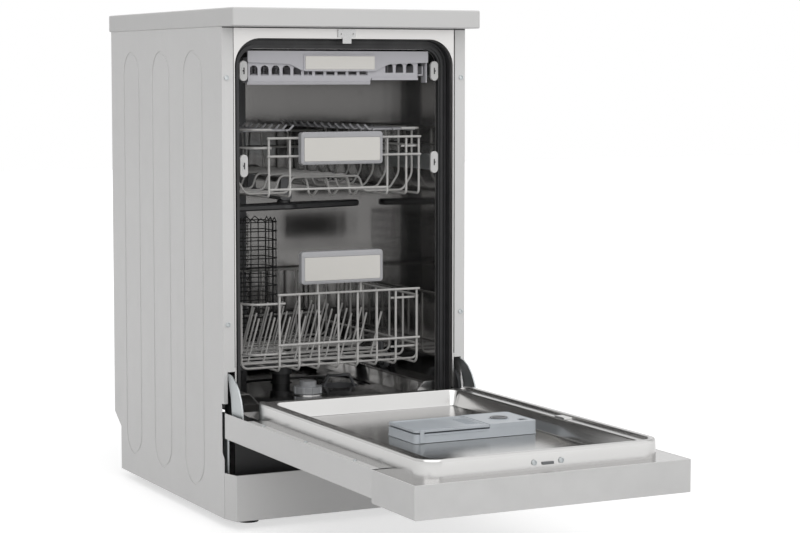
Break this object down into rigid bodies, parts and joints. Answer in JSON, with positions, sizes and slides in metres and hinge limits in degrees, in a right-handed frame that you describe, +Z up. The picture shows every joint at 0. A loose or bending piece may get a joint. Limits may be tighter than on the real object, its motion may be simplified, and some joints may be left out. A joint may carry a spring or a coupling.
{
  "type": "freestanding dishwasher",
  "caption": "Slimline freestanding dishwasher with an open drop-down door, two sliding wire racks, a sliding cutlery tray, spray arms and a detergent dispenser.",
  "frame": {"origin": "on the floor, midway between the sides and midway between the worktop's front and rear edges", "axes": "+Z up; the door faces -Y and swings down to -Y; +X to the right of somebody who faces the door"},
  "size_m": [0.448, 1.229, 0.845],
  "materials": {
    "silver_paint": "satin silver paint",
    "worktop_board": "satin silver laminate",
    "silver_plastic": "satin silver moulding",
    "tub_steel": "bright rolled stainless",
    "liner_steel": "polished stainless",
    "frame_steel": "satin stainless",
    "zinc_steel": "zinc-plated",
    "chrome": "bright",
    "seal_rubber": "matt black",
    "black_plastic": "satin black",
    "base_plastic": "moulded dark grey",
    "grey_plastic": "moulded grey",
    "tray_plastic": "moulded light grey",
    "dispenser_plastic": "moulded blue-grey",
    "cap_plastic": "translucent grey",
    "rack_coating": "grey coated wire",
    "arm_plastic": "moulded dark grey",
    "pull_plastic": "silver moulding",
    "plate_metal": "brushed",
    "board_green": "circuit board",
    "white_plastic": "moulded white"
  },
  "bodies": {
    "cabinet": {"worktop": "worktop_board", "side_panel_left": "silver_paint", "side_panel_right": "silver_paint", "back_panel": "zinc_steel", "base_tray": "base_plastic", "kick_plate": "silver_paint", "levelling_feet": "black_plastic", "tub_shell": "tub_steel", "tub_floor": "tub_steel", "tub_front_frame": "frame_steel", "door_gasket": "seal_rubber", "door_striker": "chrome", "cabinet_screws": "zinc_steel", "sump": "base_plastic", "flat_filter": "tub_steel", "softener_tank": "white_plastic", "wash_pump": "base_plastic", "drain_pump": "base_plastic", "inlet_valve": "white_plastic", "spray_feed_pipe": "grey_plastic", "wall_glides": "tray_plastic", "hinge_brackets": "zinc_steel", "hinge_covers": "black_plastic", "door_springs": "zinc_steel", "cable_gland": "black_plastic"},
    "door": {"door_outer_panel": "silver_paint", "control_panel": "silver_plastic", "control_board": "board_green", "door_liner": "liner_steel", "door_lock": "grey_plastic", "door_screws": "zinc_steel", "dispenser_body": "dispenser_plastic", "hinge_arms": "zinc_steel"},
    "dispenser_lid": {"dispenser_lid": "dispenser_plastic"},
    "rinse_aid_dial": {"rinse_aid_dial": "grey_plastic"},
    "power_button": {"power_button": "silver_plastic"},
    "program_button": {"program_button": "silver_plastic"},
    "start_button": {"start_button": "silver_plastic"},
    "salt_cap": {"salt_cap": "cap_plastic"},
    "filter_cup": {"filter_cup": "grey_plastic"},
    "lower_spray_arm": {"lower_spray_arm": "arm_plastic"},
    "lower_rack": {"lower_basket": "rack_coating", "lower_basket_tines": "rack_coating", "lower_basket_handle": "pull_plastic", "lower_handle_plate": "plate_metal"},
    "front_wheel_left": {"front_wheel_left": "grey_plastic"},
    "front_wheel_right": {"front_wheel_right": "grey_plastic"},
    "rear_wheel_left": {"rear_wheel_left": "grey_plastic"},
    "rear_wheel_right": {"rear_wheel_right": "grey_plastic"},
    "cutlery_basket": {"cutlery_basket": "black_plastic"},
    "upper_rails": {"upper_basket_rails": "zinc_steel"},
    "upper_rack": {"upper_basket": "rack_coating", "upper_basket_handle": "pull_plastic", "upper_handle_plate": "plate_metal"},
    "cup_shelf_left": {"cup_shelf_left": "grey_plastic"},
    "cup_shelf_right": {"cup_shelf_right": "grey_plastic"},
    "upper_spray_arm": {"upper_spray_arm": "arm_plastic"},
    "tray_rails": {"tray_rails": "zinc_steel"},
    "cutlery_tray": {"cutlery_tray": "tray_plastic", "tray_handle_plate": "plate_metal"}
  },
  "joints": [
    {"name": "door_hinge", "type": "hinge", "parent": "cabinet", "child": "door", "pos_m": [0, -0.281, 0.163], "axis": [-1, 0, 0], "range_deg": [0, 90]},
    {"name": "lower_rack_slide", "type": "slide", "parent": "cabinet", "child": "lower_rack", "axis": [0, 1, 0], "range_m": [-0.4, 0]},
    {"name": "upper_rack_slide", "type": "slide", "parent": "cabinet", "child": "upper_rack", "axis": [0, 1, 0], "range_m": [-0.38, 0]},
    {"name": "upper_rails_slide", "type": "slide", "parent": "cabinet", "child": "upper_rails", "axis": [0, 1, 0], "range_m": [-0.19, 0]},
    {"name": "tray_slide", "type": "slide", "parent": "cabinet", "child": "cutlery_tray", "axis": [0, 1, 0], "range_m": [-0.38, 0]},
    {"name": "tray_rails_slide", "type": "slide", "parent": "cabinet", "child": "tray_rails", "axis": [0, 1, 0], "range_m": [-0.19, 0]},
    {"name": "dispenser_lid_slide", "type": "slide", "parent": "door", "child": "dispenser_lid", "axis": [-1, 0, 0], "range_m": [0, 0.062]},
    {"name": "rinse_aid_dial_turn", "type": "hinge", "parent": "door", "child": "rinse_aid_dial", "pos_m": [0.1, -0.585, 0.205], "axis": [0, 0, 1], "range_deg": [0, 150]},
    {"name": "salt_cap_turn", "type": "hinge", "parent": "cabinet", "child": "salt_cap", "pos_m": [-0.018, -0.127, 0.2], "axis": [0, 0, 1], "range_deg": [0, 270]},
    {"name": "filter_cup_turn", "type": "hinge", "parent": "cabinet", "child": "filter_cup", "pos_m": [0.08, -0.044, 0.15], "axis": [0, 0, 1], "range_deg": [0, 60]},
    {"name": "lower_spray_arm_spin", "type": "hinge", "parent": "cabinet", "child": "lower_spray_arm", "pos_m": [0, 0.03, 0.22], "axis": [0, 0, 1], "continuous": true},
    {"name": "upper_spray_arm_spin", "type": "hinge", "parent": "upper_rack", "child": "upper_spray_arm", "pos_m": [0, 0.015, 0.505], "axis": [0, 0, 1], "continuous": true},
    {"name": "cup_shelf_left_fold", "type": "hinge", "parent": "upper_rack", "child": "cup_shelf_left", "pos_m": [-0.158, 0, 0.645], "axis": [0, -1, 0], "range_deg": [0, 60]},
    {"name": "cup_shelf_right_fold", "type": "hinge", "parent": "upper_rack", "child": "cup_shelf_right", "pos_m": [0.158, 0, 0.645], "axis": [0, 1, 0], "range_deg": [0, 60]},
    {"name": "cutlery_basket_lift", "type": "slide", "parent": "lower_rack", "child": "cutlery_basket", "axis": [0, 0, 1], "range_m": [0, 0.018]},
    {"name": "front_wheel_left_spin", "type": "hinge", "parent": "lower_rack", "child": "front_wheel_left", "pos_m": [-0.176, -0.03, 0.2273], "axis": [-1, 0, 0], "continuous": true},
    {"name": "rear_wheel_left_spin", "type": "hinge", "parent": "lower_rack", "child": "rear_wheel_left", "pos_m": [-0.176, 0.18, 0.2273], "axis": [-1, 0, 0], "continuous": true},
    {"name": "front_wheel_right_spin", "type": "hinge", "parent": "lower_rack", "child": "front_wheel_right", "pos_m": [0.176, -0.03, 0.2273], "axis": [-1, 0, 0], "continuous": true},
    {"name": "rear_wheel_right_spin", "type": "hinge", "parent": "lower_rack", "child": "rear_wheel_right", "pos_m": [0.176, 0.18, 0.2273], "axis": [-1, 0, 0], "continuous": true},
    {"name": "power_button_press", "type": "slide", "parent": "door", "child": "power_button", "axis": [0, 0, 1], "range_m": [0, 0.001], "stiffness_N_per_m": 300, "springref_m": -0.002},
    {"name": "program_button_press", "type": "slide", "parent": "door", "child": "program_button", "axis": [0, 0, 1], "range_m": [0, 0.001], "stiffness_N_per_m": 300, "springref_m": -0.002},
    {"name": "start_button_press", "type": "slide", "parent": "door", "child": "start_button", "axis": [0, 0, 1], "range_m": [0, 0.001], "stiffness_N_per_m": 300, "springref_m": -0.002}
  ],
  "couplings": [
    {"joint": "upper_rails_slide", "follows": "upper_rack_slide", "ratio": 0.5},
    {"joint": "tray_rails_slide", "follows": "tray_slide", "ratio": 0.5},
    {"joint": "front_wheel_left_spin", "follows": "lower_rack_slide", "rad_per_m": 62.5},
    {"joint": "rear_wheel_left_spin", "follows": "lower_rack_slide", "rad_per_m": 62.5},
    {"joint": "front_wheel_right_spin", "follows": "lower_rack_slide", "rad_per_m": 62.5},
    {"joint": "rear_wheel_right_spin", "follows": "lower_rack_slide", "rad_per_m": 62.5}
  ]
}
